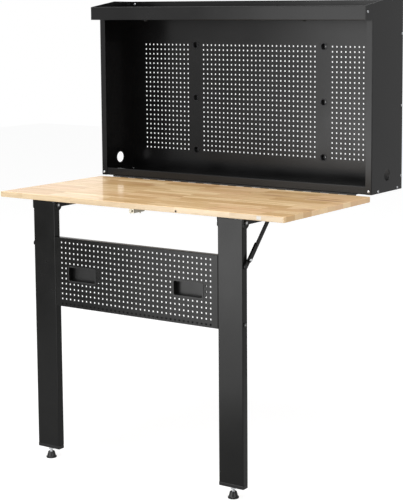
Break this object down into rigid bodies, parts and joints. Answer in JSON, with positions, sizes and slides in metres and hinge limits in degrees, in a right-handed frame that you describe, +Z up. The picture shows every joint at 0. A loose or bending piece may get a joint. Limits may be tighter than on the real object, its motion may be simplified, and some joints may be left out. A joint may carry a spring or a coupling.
{
  "type": "wall mounted folding workbench",
  "caption": "Wall mounted pegboard cabinet whose wooden worktop folds down on a piano hinge and stands on folding legs with a perforated cross panel.",
  "frame": {"origin": "centre of the six wall bolts, on the wall", "axes": "+X to the right as seen from the front, +Y into the wall, +Z up; the bench is stored open"},
  "size_m": [1.0048, 0.6718, 1.3588],
  "materials": {
    "black_steel": "satin black powder coat",
    "zinc": "bright zinc plate",
    "spacer_steel": "grey zinc plate",
    "black_bolt": "black oxide",
    "wood": "clear lacquered solid rubberwood staves",
    "black_plastic": "moulded",
    "buffer_rubber": "moulded"
  },
  "bodies": {
    "cabinet": {"side_panel_right": "black_steel", "side_panel_left": "black_steel", "bottom_panel": "black_steel", "back_panel": "black_steel", "hood_fascia": "black_steel", "hood_tray": "black_steel", "hood_buffers": "buffer_rubber", "cabinet_screws": "zinc", "wall_spacers": "spacer_steel", "hinge_leaf_cabinet": "black_steel", "hinge_pin": "zinc", "hinge_screws_cabinet": "zinc"},
    "worktop_body": {"worktop": "wood", "hinge_leaf_worktop": "black_steel", "hinge_screws_worktop": "zinc", "leg_rail_right": "black_steel", "leg_rail_left": "black_steel", "rail_screws": "zinc", "leg_pivot_bolts": "zinc", "leg_pivot_nuts": "zinc", "stay_head_pins": "black_bolt", "stay_head_spacers": "black_bolt", "latch_body": "zinc", "latch_screws": "zinc"},
    "leg_frame": {"leg_right": "black_steel", "leg_left": "black_steel", "cross_panel": "black_steel", "handle_cup_right": "black_plastic", "handle_cup_left": "black_plastic", "leg_cap_right": "black_plastic", "leg_cap_left": "black_plastic", "cross_bolts_upper": "black_bolt", "cross_bolts_lower": "zinc", "cross_nuts": "zinc", "stay_foot_spacers": "black_bolt", "foot_locknuts": "zinc"},
    "lower_stay_right": {"stay_lower_right": "black_steel"},
    "lower_stay_left": {"stay_lower_left": "black_steel"},
    "upper_stay_right": {"stay_upper_right": "black_steel", "stay_knee_rivet_right": "black_bolt", "stay_stop_stud_right": "zinc"},
    "upper_stay_left": {"stay_upper_left": "black_steel", "stay_knee_rivet_left": "black_bolt", "stay_stop_stud_left": "zinc"},
    "latch": {"latch_bolt": "zinc"},
    "foot_right": {"foot_stud_right": "zinc", "foot_pad_right": "black_plastic"},
    "foot_left": {"foot_stud_left": "zinc", "foot_pad_left": "black_plastic"}
  },
  "joints": [
    {"name": "worktop_fold", "type": "hinge", "parent": "cabinet", "child": "worktop_body", "pos_m": [0, -0.1925, -0.2527], "axis": [-1, 0, 0], "range_deg": [0, 90]},
    {"name": "leg_fold", "type": "hinge", "parent": "worktop_body", "child": "leg_frame", "pos_m": [0, -0.654, -0.2825], "axis": [1, 0, 0], "range_deg": [0, 90]},
    {"name": "upper_stay_right_turn", "type": "hinge", "parent": "worktop_body", "child": "upper_stay_right", "pos_m": [0.3761, -0.55, -0.2855], "axis": [1, 0, 0], "range_deg": [0, 132.95]},
    {"name": "lower_stay_right_turn", "type": "hinge", "parent": "leg_frame", "child": "lower_stay_right", "pos_m": [0.3728, -0.657, -0.4005], "axis": [-1, 0, 0], "range_deg": [0, 137.07]},
    {"name": "upper_stay_left_turn", "type": "hinge", "parent": "worktop_body", "child": "upper_stay_left", "pos_m": [-0.3761, -0.55, -0.2855], "axis": [1, 0, 0], "range_deg": [0, 132.95]},
    {"name": "lower_stay_left_turn", "type": "hinge", "parent": "leg_frame", "child": "lower_stay_left", "pos_m": [-0.3728, -0.657, -0.4005], "axis": [-1, 0, 0], "range_deg": [0, 137.07]},
    {"name": "latch_slide", "type": "slide", "parent": "worktop_body", "child": "latch", "axis": [0, -1, 0], "range_m": [0, 0.03]},
    {"name": "foot_right_level", "type": "slide", "parent": "leg_frame", "child": "foot_right", "axis": [0, 0, -1], "range_m": [-0.006, 0.01]},
    {"name": "foot_left_level", "type": "slide", "parent": "leg_frame", "child": "foot_left", "axis": [0, 0, -1], "range_m": [-0.006, 0.01]}
  ],
  "couplings": [
    {"joint": "leg_fold", "follows": "worktop_fold", "ratio": 1},
    {"joint": "upper_stay_right_turn", "follows": "worktop_fold", "ratio": 1.4771},
    {"joint": "lower_stay_right_turn", "follows": "worktop_fold", "ratio": 1.5229},
    {"joint": "upper_stay_left_turn", "follows": "worktop_fold", "ratio": 1.4771},
    {"joint": "lower_stay_left_turn", "follows": "worktop_fold", "ratio": 1.5229}
  ]
}
